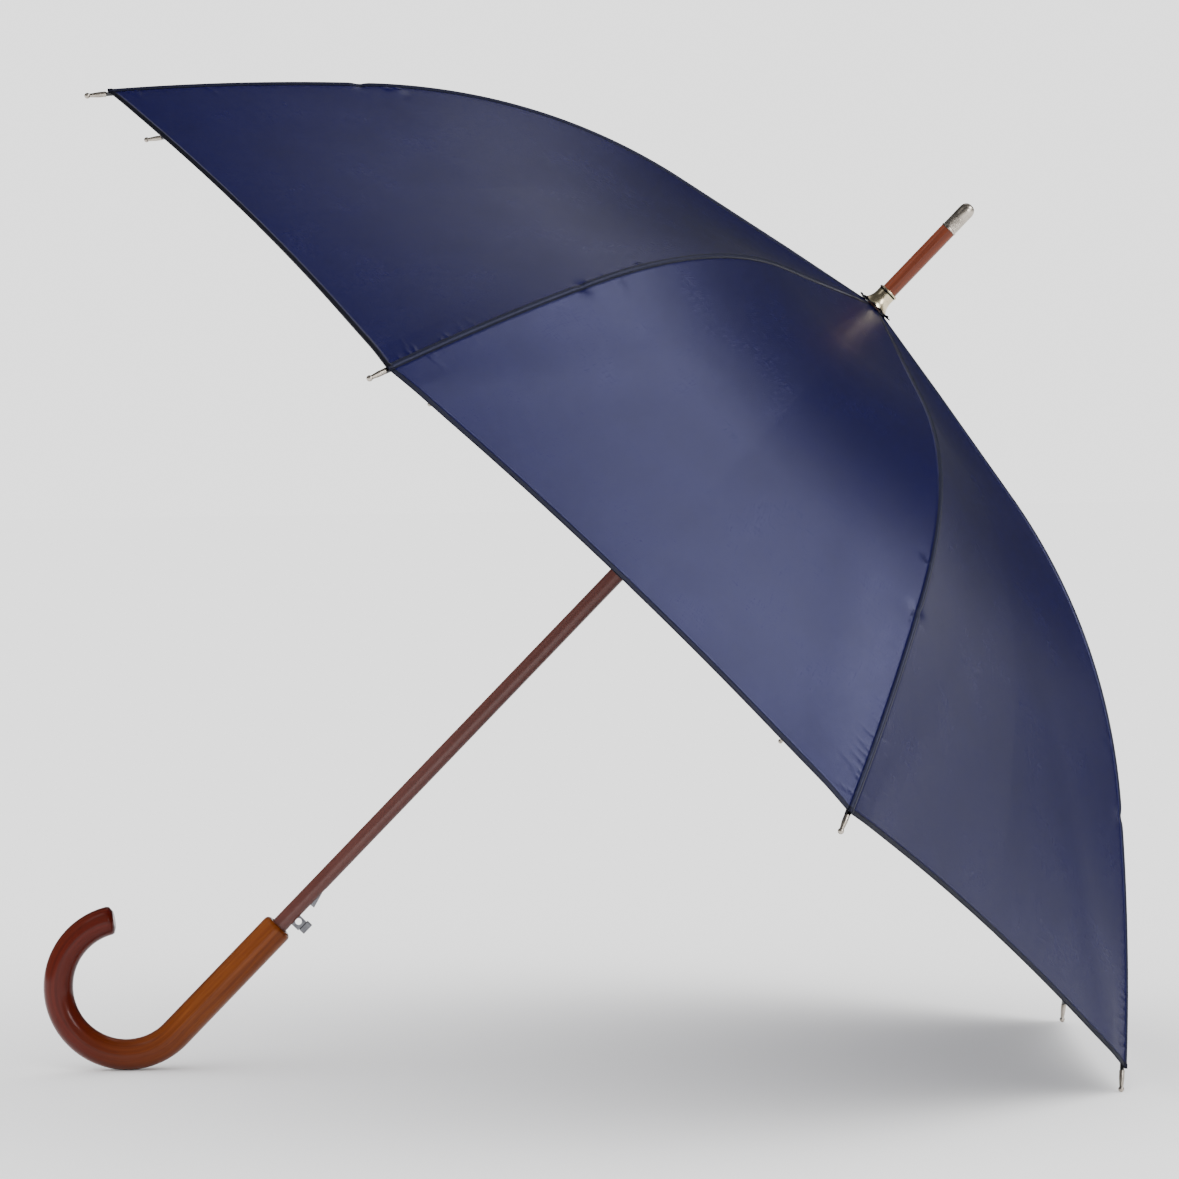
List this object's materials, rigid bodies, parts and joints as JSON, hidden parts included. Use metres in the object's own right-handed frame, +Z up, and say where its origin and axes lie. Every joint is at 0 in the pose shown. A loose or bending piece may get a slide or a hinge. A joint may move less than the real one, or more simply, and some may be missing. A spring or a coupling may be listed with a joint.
{
  "type": "stick umbrella",
  "caption": "Open stick umbrella with a crook handle, a push-button opening latch and a domed ribbed cover, lying on its crook and two rib tips.",
  "frame": {"origin": "middle of the umbrella's footprint on the floor it lies on, open, on the bend of its crook and its two lowest rib tips", "axes": "+Z up from the floor; +X runs level from the crook towards the cover, in the plane of shaft and crook; +Y runs across the shaft"},
  "size_m": [0.7666, 0.9786, 0.6982],
  "materials": {
    "cover_cloth": "satin woven polyester, navy",
    "washer_cloth": "matt black cloth",
    "black_steel": "gloss black paint on fluted steel",
    "nickel": "warm nickel plate",
    "crown_metal": "pale gold plate",
    "spring_steel": "bright spring steel",
    "button_metal": "gunmetal plate",
    "runner_black": "gloss black",
    "shaft_lacquer": "maroon satin lacquer on steel tube",
    "handle_wood": "clear lacquer over stained beech",
    "rod_wood": "stained and lacquered"
  },
  "bodies": {
    "shaft_body": {"shaft": "shaft_lacquer", "crook_handle": "handle_wood", "ferrule_rod": "rod_wood", "end_cap": "nickel", "crown_cap": "crown_metal", "crown_washer": "washer_cloth", "top_notch": "black_steel", "notch_wire": "spring_steel", "opening_spring": "spring_steel", "spring_anchor_pin": "spring_steel", "catch_pivot_pin": "spring_steel"},
    "latch": {"catch_spring": "spring_steel", "push_button": "button_metal"},
    "runner_body": {"runner": "runner_black", "runner_wire": "spring_steel", "drive_pin": "spring_steel"},
    "rib_inner_1": {"rib_inner_1": "black_steel", "cover_1": "cover_cloth"},
    "rib_outer_1": {"rib_outer_1": "black_steel", "rib_tip_1": "nickel"},
    "stretcher_1": {"stretcher_1": "black_steel"},
    "rib_inner_2": {"rib_inner_2": "black_steel", "cover_2": "cover_cloth"},
    "rib_outer_2": {"rib_outer_2": "black_steel", "rib_tip_2": "nickel"},
    "stretcher_2": {"stretcher_2": "black_steel"},
    "rib_inner_3": {"rib_inner_3": "black_steel", "cover_3": "cover_cloth"},
    "rib_outer_3": {"rib_outer_3": "black_steel", "rib_tip_3": "nickel", "tie_strap": "cover_cloth", "tie_snap": "nickel"},
    "stretcher_3": {"stretcher_3": "black_steel"},
    "rib_inner_4": {"rib_inner_4": "black_steel", "cover_4": "cover_cloth"},
    "rib_outer_4": {"rib_outer_4": "black_steel", "rib_tip_4": "nickel"},
    "stretcher_4": {"stretcher_4": "black_steel"},
    "rib_inner_5": {"rib_inner_5": "black_steel", "cover_5": "cover_cloth"},
    "rib_outer_5": {"rib_outer_5": "black_steel", "rib_tip_5": "nickel"},
    "stretcher_5": {"stretcher_5": "black_steel"},
    "rib_inner_6": {"rib_inner_6": "black_steel", "cover_6": "cover_cloth"},
    "rib_outer_6": {"rib_outer_6": "black_steel", "rib_tip_6": "nickel"},
    "stretcher_6": {"stretcher_6": "black_steel"},
    "rib_inner_7": {"rib_inner_7": "black_steel", "cover_7": "cover_cloth"},
    "rib_outer_7": {"rib_outer_7": "black_steel", "rib_tip_7": "nickel"},
    "stretcher_7": {"stretcher_7": "black_steel"},
    "rib_inner_8": {"rib_inner_8": "black_steel", "cover_8": "cover_cloth"},
    "rib_outer_8": {"rib_outer_8": "black_steel", "rib_tip_8": "nickel"},
    "stretcher_8": {"stretcher_8": "black_steel"}
  },
  "joints": [
    {"name": "fold", "type": "hinge", "parent": "shaft_body", "child": "rib_inner_1", "pos_m": [0.22852, 0.00344, 0.53467], "axis": [-0.2717, 0.9239, 0.2695], "range_deg": [0, 73.16], "stiffness_Nm_per_rad": 1, "springref_deg": -68.75, "deforming": ["cover_1", "cover_2", "cover_3", "cover_4", "cover_5", "cover_6", "cover_7", "cover_8", "opening_spring", "catch_spring", "tie_strap", "tie_snap"]},
    {"name": "rib_flex_1", "type": "hinge", "parent": "rib_inner_1", "child": "rib_outer_1", "pos_m": [0.35403, 0.101, 0.32679], "axis": [-0.2717, 0.9239, 0.2695], "range_deg": [-22.05, 0.05]},
    {"name": "stretcher_hinge_1", "type": "hinge", "parent": "rib_inner_1", "child": "stretcher_1", "pos_m": [0.35078, 0.10046, 0.32536], "axis": [-0.2717, 0.9239, 0.2695], "range_deg": [-146.36, 0.05]},
    {"name": "fold_2", "type": "hinge", "parent": "shaft_body", "child": "rib_inner_2", "pos_m": [0.22506, 0.00831, 0.5381], "axis": [-0.6558, 0.3827, 0.6507], "range_deg": [0, 73.16]},
    {"name": "rib_flex_2", "type": "hinge", "parent": "rib_inner_2", "child": "rib_outer_2", "pos_m": [0.25264, 0.24383, 0.42739], "axis": [-0.6558, 0.3827, 0.6507], "range_deg": [-22.05, 0.05]},
    {"name": "stretcher_hinge_2", "type": "hinge", "parent": "rib_inner_2", "child": "stretcher_2", "pos_m": [0.24992, 0.24253, 0.42542], "axis": [-0.6558, 0.3827, 0.6507], "range_deg": [-146.36, 0.05]},
    {"name": "fold_3", "type": "hinge", "parent": "shaft_body", "child": "rib_inner_3", "pos_m": [0.22017, 0.00831, 0.54295], "axis": [-0.6558, -0.3827, 0.6507], "range_deg": [0, 73.16]},
    {"name": "rib_flex_3", "type": "hinge", "parent": "rib_inner_3", "child": "rib_outer_3", "pos_m": [0.10925, 0.24383, 0.56966], "axis": [-0.6558, -0.3827, 0.6507], "range_deg": [-22.05, 0.05]},
    {"name": "stretcher_hinge_3", "type": "hinge", "parent": "rib_inner_3", "child": "stretcher_3", "pos_m": [0.1073, 0.24253, 0.56693], "axis": [-0.6558, -0.3827, 0.6507], "range_deg": [-146.36, 0.05]},
    {"name": "fold_4", "type": "hinge", "parent": "shaft_body", "child": "rib_inner_4", "pos_m": [0.21671, 0.00344, 0.54638], "axis": [-0.2717, -0.9239, 0.2695], "range_deg": [0, 73.16]},
    {"name": "rib_flex_4", "type": "hinge", "parent": "rib_inner_4", "child": "rib_outer_4", "pos_m": [0.00786, 0.101, 0.67026], "axis": [-0.2717, -0.9239, 0.2695], "range_deg": [-22.05, 0.05]},
    {"name": "stretcher_hinge_4", "type": "hinge", "parent": "rib_inner_4", "child": "stretcher_4", "pos_m": [0.00645, 0.10046, 0.667], "axis": [-0.2717, -0.9239, 0.2695], "range_deg": [-146.36, 0.05]},
    {"name": "fold_5", "type": "hinge", "parent": "shaft_body", "child": "rib_inner_5", "pos_m": [0.21671, -0.00344, 0.54638], "axis": [0.2717, -0.9239, -0.2695], "range_deg": [0, 73.16]},
    {"name": "rib_flex_5", "type": "hinge", "parent": "rib_inner_5", "child": "rib_outer_5", "pos_m": [0.00786, -0.101, 0.67026], "axis": [0.2717, -0.9239, -0.2695], "range_deg": [-22.05, 0.05]},
    {"name": "stretcher_hinge_5", "type": "hinge", "parent": "rib_inner_5", "child": "stretcher_5", "pos_m": [0.00645, -0.10046, 0.667], "axis": [0.2717, -0.9239, -0.2695], "range_deg": [-146.36, 0.05]},
    {"name": "fold_6", "type": "hinge", "parent": "shaft_body", "child": "rib_inner_6", "pos_m": [0.22017, -0.00831, 0.54295], "axis": [0.6558, -0.3827, -0.6507], "range_deg": [0, 73.16]},
    {"name": "rib_flex_6", "type": "hinge", "parent": "rib_inner_6", "child": "rib_outer_6", "pos_m": [0.10925, -0.24383, 0.56966], "axis": [0.6558, -0.3827, -0.6507], "range_deg": [-22.05, 0.05]},
    {"name": "stretcher_hinge_6", "type": "hinge", "parent": "rib_inner_6", "child": "stretcher_6", "pos_m": [0.1073, -0.24253, 0.56693], "axis": [0.6558, -0.3827, -0.6507], "range_deg": [-146.36, 0.05]},
    {"name": "fold_7", "type": "hinge", "parent": "shaft_body", "child": "rib_inner_7", "pos_m": [0.22506, -0.00831, 0.5381], "axis": [0.6558, 0.3827, -0.6507], "range_deg": [0, 73.16]},
    {"name": "rib_flex_7", "type": "hinge", "parent": "rib_inner_7", "child": "rib_outer_7", "pos_m": [0.25264, -0.24383, 0.42739], "axis": [0.6558, 0.3827, -0.6507], "range_deg": [-22.05, 0.05]},
    {"name": "stretcher_hinge_7", "type": "hinge", "parent": "rib_inner_7", "child": "stretcher_7", "pos_m": [0.24992, -0.24253, 0.42542], "axis": [0.6558, 0.3827, -0.6507], "range_deg": [-146.36, 0.05]},
    {"name": "fold_8", "type": "hinge", "parent": "shaft_body", "child": "rib_inner_8", "pos_m": [0.22852, -0.00344, 0.53467], "axis": [0.2717, 0.9239, -0.2695], "range_deg": [0, 73.16]},
    {"name": "rib_flex_8", "type": "hinge", "parent": "rib_inner_8", "child": "rib_outer_8", "pos_m": [0.35403, -0.101, 0.32679], "axis": [0.2717, 0.9239, -0.2695], "range_deg": [-22.05, 0.05]},
    {"name": "stretcher_hinge_8", "type": "hinge", "parent": "rib_inner_8", "child": "stretcher_8", "pos_m": [0.35078, -0.10046, 0.32536], "axis": [0.2717, 0.9239, -0.2695], "range_deg": [-146.36, 0.05]},
    {"name": "runner_slide", "type": "hinge", "parent": "stretcher_1", "child": "runner_body", "pos_m": [0.14051, 0.00344, 0.44597], "axis": [-0.2717, 0.9239, 0.2695], "range_deg": [-0.05, 73.21]},
    {"name": "button_press", "type": "hinge", "parent": "shaft_body", "child": "latch", "pos_m": [-0.23315, 0, 0.08117], "axis": [0, -1, 0], "range_deg": [0, 4.5], "stiffness_Nm_per_rad": 4, "springref_deg": -3.44}
  ],
  "couplings": [
    {"joint": "rib_flex_1", "follows": "fold", "ratio": -0.30068},
    {"joint": "stretcher_hinge_1", "follows": "fold", "ratio": -2},
    {"joint": "fold_2", "follows": "fold", "ratio": 1},
    {"joint": "rib_flex_2", "follows": "fold", "ratio": -0.30068},
    {"joint": "stretcher_hinge_2", "follows": "fold", "ratio": -2},
    {"joint": "fold_3", "follows": "fold", "ratio": 1},
    {"joint": "rib_flex_3", "follows": "fold", "ratio": -0.30068},
    {"joint": "stretcher_hinge_3", "follows": "fold", "ratio": -2},
    {"joint": "fold_4", "follows": "fold", "ratio": 1},
    {"joint": "rib_flex_4", "follows": "fold", "ratio": -0.30068},
    {"joint": "stretcher_hinge_4", "follows": "fold", "ratio": -2},
    {"joint": "fold_5", "follows": "fold", "ratio": 1},
    {"joint": "rib_flex_5", "follows": "fold", "ratio": -0.30068},
    {"joint": "stretcher_hinge_5", "follows": "fold", "ratio": -2},
    {"joint": "fold_6", "follows": "fold", "ratio": 1},
    {"joint": "rib_flex_6", "follows": "fold", "ratio": -0.30068},
    {"joint": "stretcher_hinge_6", "follows": "fold", "ratio": -2},
    {"joint": "fold_7", "follows": "fold", "ratio": 1},
    {"joint": "rib_flex_7", "follows": "fold", "ratio": -0.30068},
    {"joint": "stretcher_hinge_7", "follows": "fold", "ratio": -2},
    {"joint": "fold_8", "follows": "fold", "ratio": 1},
    {"joint": "rib_flex_8", "follows": "fold", "ratio": -0.30068},
    {"joint": "stretcher_hinge_8", "follows": "fold", "ratio": -2},
    {"joint": "runner_slide", "follows": "fold", "ratio": 1}
  ]
}
